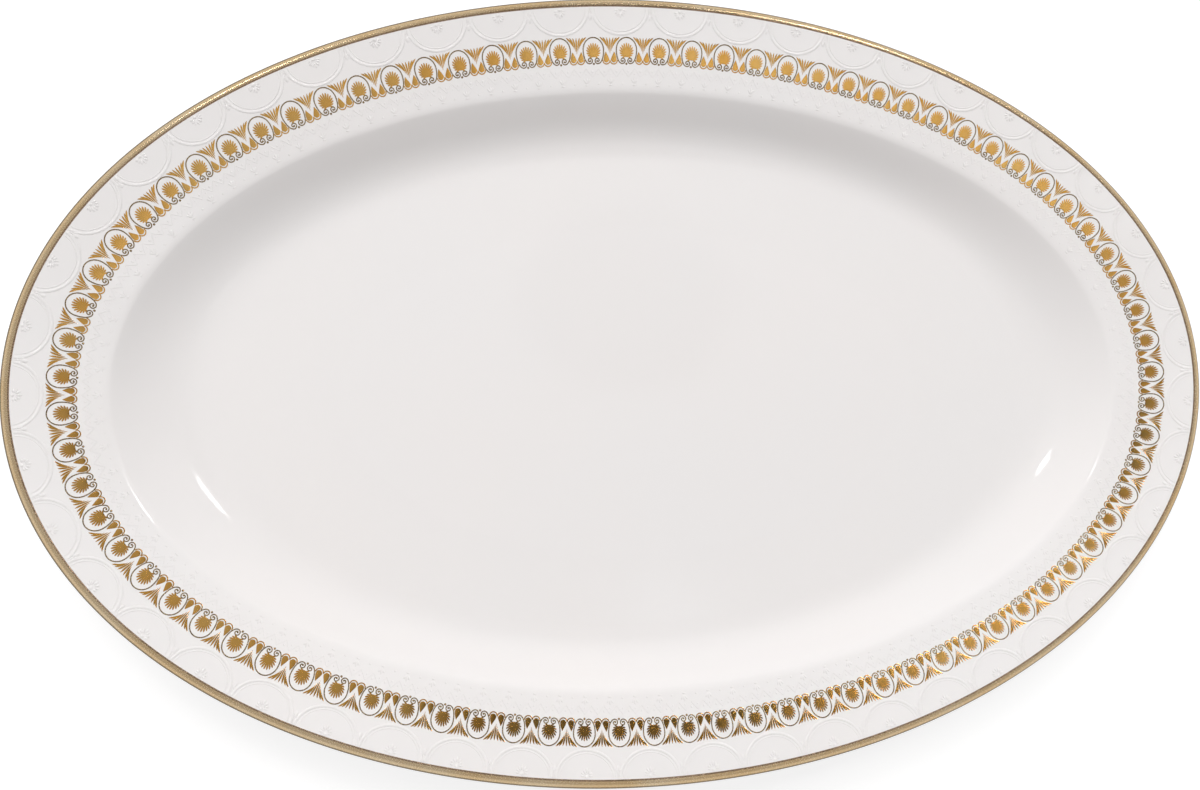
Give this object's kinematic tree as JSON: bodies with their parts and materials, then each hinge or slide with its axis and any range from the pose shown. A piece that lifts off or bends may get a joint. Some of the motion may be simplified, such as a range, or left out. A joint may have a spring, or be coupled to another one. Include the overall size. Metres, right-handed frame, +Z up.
{
  "type": "china serving platter",
  "caption": "Oval white china serving platter with a sloping relief rim, a gilt lip, a frieze of gilt egg-and-palmette ornament, a deep flat-floored well and a foot ring.",
  "frame": {"origin": "centre of the plane that the foot ring stands on", "axes": "+X along the platter, +Y across it, +Z up out of the well"},
  "size_m": [0.355, 0.2306, 0.026],
  "materials": {
    "bare_china": "matt, unglazed, slightly warm",
    "white_glaze": "clear gloss glaze over white china",
    "fired_gold": "burnished fired gold, warm and reflective"
  },
  "bodies": {
    "root": {"china_body": "bare_china", "upper_glaze": "white_glaze", "foot_recess_glaze": "white_glaze", "gold_lip_band": "fired_gold", "gold_egg_rings": "fired_gold", "gold_palmettes": "fired_gold", "gold_volutes": "fired_gold", "gold_egg_beads": "fired_gold", "gold_leaf_fans": "fired_gold", "gold_comma_leaves": "fired_gold", "gold_arches": "fired_gold"}
  },
  "joints": []
}
